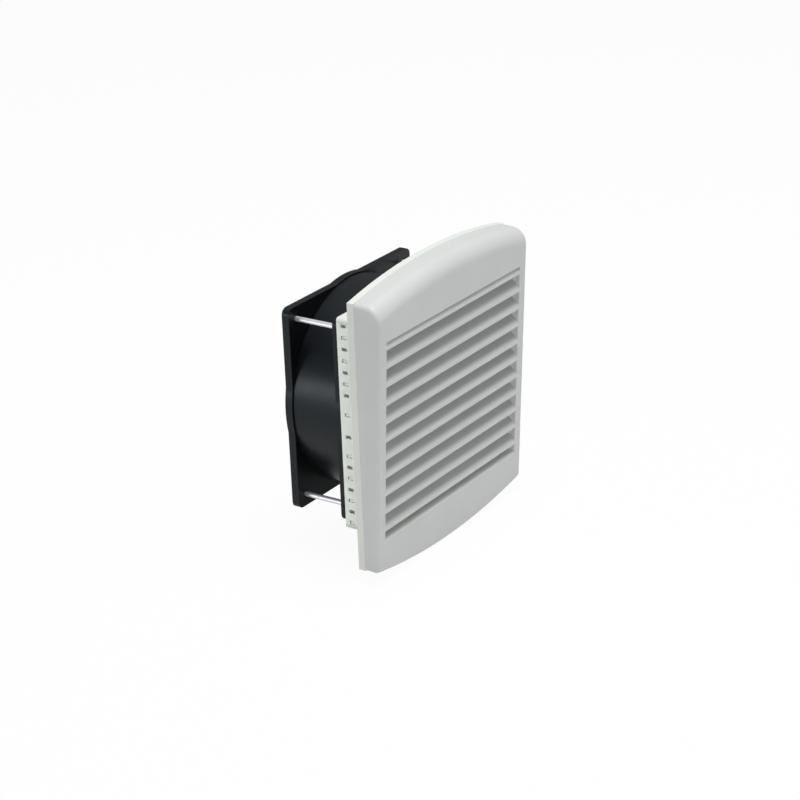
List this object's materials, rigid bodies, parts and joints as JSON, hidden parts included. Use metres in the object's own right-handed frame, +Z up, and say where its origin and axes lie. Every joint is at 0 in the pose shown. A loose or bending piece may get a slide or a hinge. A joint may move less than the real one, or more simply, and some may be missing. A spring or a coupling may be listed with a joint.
{
  "type": "cabinet filter fan",
  "caption": "Louvred filter fan for a cabinet panel: bowed light-grey cover and base frame with a snap-in spigot, filter mat, and a black open-corner axial fan on long screws.",
  "frame": {"origin": "centre of the square panel cut-out, on the plane where the rear face of the base flange meets the panel", "axes": "+X right as seen from the front, +Y back into the cabinet, +Z up; the louvres face -Y"},
  "size_m": [0.15, 0.0786, 0.1703],
  "materials": {
    "cover_grey": "light-grey moulded plastic, fine satin grain",
    "frame_grey": "light-grey moulded plastic, satin",
    "seal_foam": "closed-cell foam",
    "filter_fibre": "white fibre fleece",
    "strip_white": "white moulded plastic, satin",
    "brass": "turned brass",
    "guard_grey": "light-grey moulded plastic, satin",
    "fan_black": "die-cast aluminium, black coated",
    "zinc_steel": "bright zinc plate",
    "block_black": "black moulded insulator",
    "tab_brass": "stamped brass",
    "lead_red": "insulated wire",
    "cap_aluminium": "plain aluminium disc",
    "bronze": "sintered bronze, oiled",
    "felt": "oiled felt",
    "lamination": "stacked electrical steel",
    "insulator_cream": "moulded insulator",
    "copper": "enamelled copper wire",
    "impeller_black": "black moulded plastic",
    "cage_aluminium": "cast aluminium",
    "shaft_steel": "ground steel",
    "washer_nylon": "nylon",
    "spring_steel": "phosphated spring steel"
  },
  "bodies": {
    "base": {"base_frame": "frame_grey", "panel_seal": "seal_foam", "filter_mat": "filter_fibre", "finger_guard": "guard_grey", "left_snap_strip": "strip_white", "right_snap_strip": "strip_white", "screw_inserts": "brass", "fan_front_flange": "fan_black", "fan_barrel": "fan_black", "fan_rear_flange": "fan_black", "motor_base": "fan_black", "fan_screws": "zinc_steel", "fan_washers": "zinc_steel", "terminal_block": "block_black", "terminal_pins": "tab_brass", "motor_leads": "lead_red", "motor_cap": "cap_aluminium", "bearing_tube": "brass", "front_bush": "bronze", "rear_bush": "bronze", "oil_felt": "felt", "stator_core": "lamination", "front_insulator": "insulator_cream", "rear_insulator": "insulator_cream", "stator_coils": "copper"},
    "cover": {"front_cover": "cover_grey"},
    "rotor": {"impeller": "impeller_black", "hub_boss": "brass", "rotor_core": "lamination", "rotor_end_rings": "cage_aluminium", "shaft": "shaft_steel", "thrust_washers": "washer_nylon", "retaining_ring": "spring_steel"}
  },
  "joints": [
    {"name": "impeller_spin", "type": "hinge", "parent": "base", "child": "rotor", "pos_m": [0, 0.0358, 0], "axis": [0, 1, 0], "continuous": true},
    {"name": "cover_release", "type": "slide", "parent": "base", "child": "cover", "axis": [0, -1, 0], "range_m": [0, 0.04]}
  ]
}
